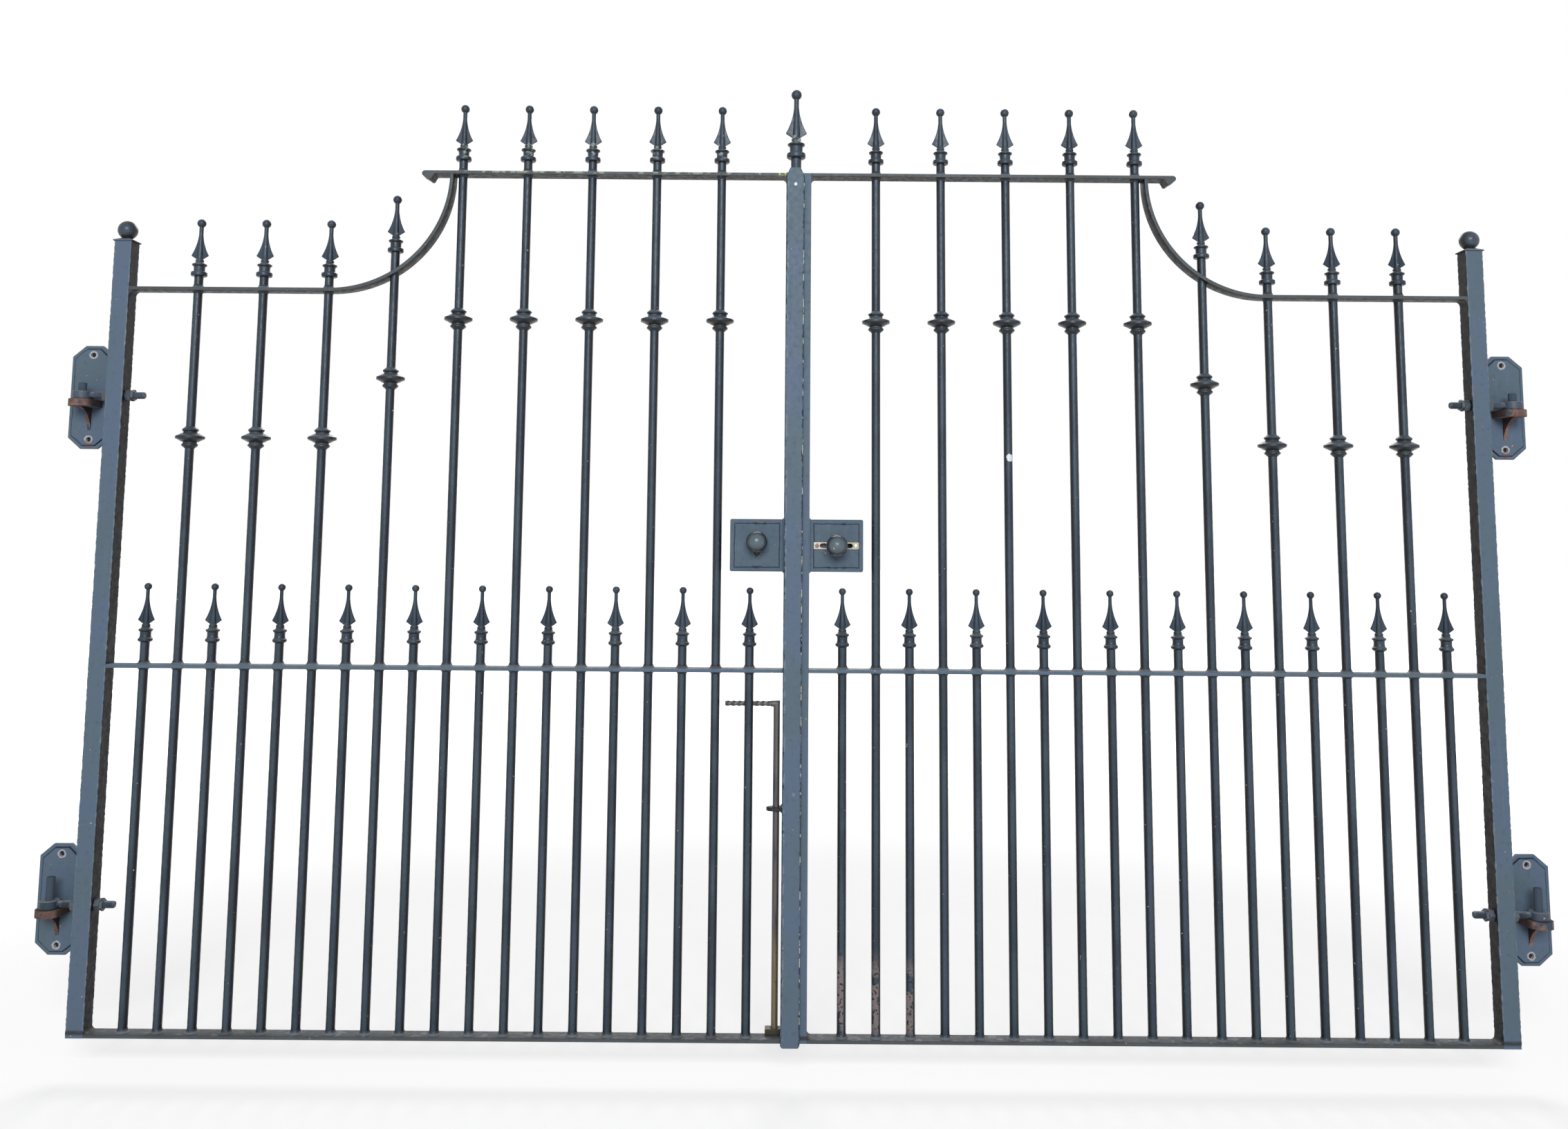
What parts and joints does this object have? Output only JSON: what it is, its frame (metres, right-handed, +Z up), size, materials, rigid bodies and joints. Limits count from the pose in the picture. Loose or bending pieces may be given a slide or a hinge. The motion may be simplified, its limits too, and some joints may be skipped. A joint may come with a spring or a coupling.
{
  "type": "metal driveway gate",
  "caption": "Two-leaf steel driveway gate with spear-headed round bars, knops, swept top rail, lock boxes, drop bolt and wall hinge plates.",
  "frame": {"origin": "centre of the lower left hinge plate's back face", "axes": "+X along the closed gate to the right, +Y out of the plates' back faces into the wall, +Z up"},
  "size_m": [3.396, 0.1333, 2.1495],
  "materials": {
    "gate_paint": "weathered satin paint",
    "bar_paint": "weathered satin paint",
    "hinge_steel": "worn paint over steel",
    "rusted_steel": "rusted",
    "worn_steel": "dull, rusting",
    "brass": "dull"
  },
  "bodies": {
    "wall_brackets": {"lower_left_hinge_plate": "gate_paint", "lower_left_hinge_bracket": "rusted_steel", "upper_left_hinge_plate": "gate_paint", "upper_left_hinge_bracket": "rusted_steel", "lower_right_hinge_plate": "gate_paint", "lower_right_hinge_bracket": "rusted_steel", "upper_right_hinge_plate": "gate_paint", "upper_right_hinge_bracket": "rusted_steel"},
    "left_leaf": {"left_hanging_stile": "gate_paint", "left_stile_cap": "gate_paint", "left_bottom_rail": "gate_paint", "left_middle_rail": "gate_paint", "left_swept_rail": "gate_paint", "left_high_rail": "gate_paint", "left_meeting_stile": "gate_paint", "left_tall_bars": "bar_paint", "left_dog_bars": "bar_paint", "left_knops": "bar_paint", "left_tall_finials": "bar_paint", "left_dog_finials": "bar_paint", "left_lock_box": "gate_paint", "left_hinge_eyes": "hinge_steel", "left_hinge_nuts": "hinge_steel", "cover_strip": "gate_paint", "centre_finial": "bar_paint", "left_knob": "gate_paint", "drop_bolt_guides": "worn_steel"},
    "right_leaf": {"right_hanging_stile": "gate_paint", "right_stile_cap": "gate_paint", "right_bottom_rail": "gate_paint", "right_middle_rail": "gate_paint", "right_swept_rail": "gate_paint", "right_high_rail": "gate_paint", "right_meeting_stile": "gate_paint", "right_tall_bars": "bar_paint", "right_dog_bars": "bar_paint", "right_knops": "bar_paint", "right_tall_finials": "bar_paint", "right_dog_finials": "bar_paint", "right_lock_box": "gate_paint", "right_hinge_eyes": "hinge_steel", "right_hinge_nuts": "hinge_steel", "latch_guide_strip": "brass", "latch_screws": "brass"},
    "drop_bolt": {"drop_bolt": "worn_steel"},
    "latch": {"latch_bar": "brass", "latch_knob": "gate_paint"}
  },
  "joints": [
    {"name": "left_swing", "type": "hinge", "parent": "wall_brackets", "child": "left_leaf", "pos_m": [0, -0.05, 0], "axis": [0, 0, -1], "range_deg": [0, 100]},
    {"name": "right_swing", "type": "hinge", "parent": "wall_brackets", "child": "right_leaf", "pos_m": [3.296, -0.05, 0], "axis": [0, 0, 1], "range_deg": [0, 100]},
    {"name": "drop_bolt_slide", "type": "slide", "parent": "left_leaf", "child": "drop_bolt", "axis": [0, 0, -1], "range_m": [0, 0.12]},
    {"name": "latch_slide", "type": "slide", "parent": "right_leaf", "child": "latch", "axis": [1, 0, 0], "range_m": [-0.01, 0.03]}
  ],
  "couplings": [
    {"joint": "right_swing", "follows": "left_swing", "ratio": 1}
  ]
}
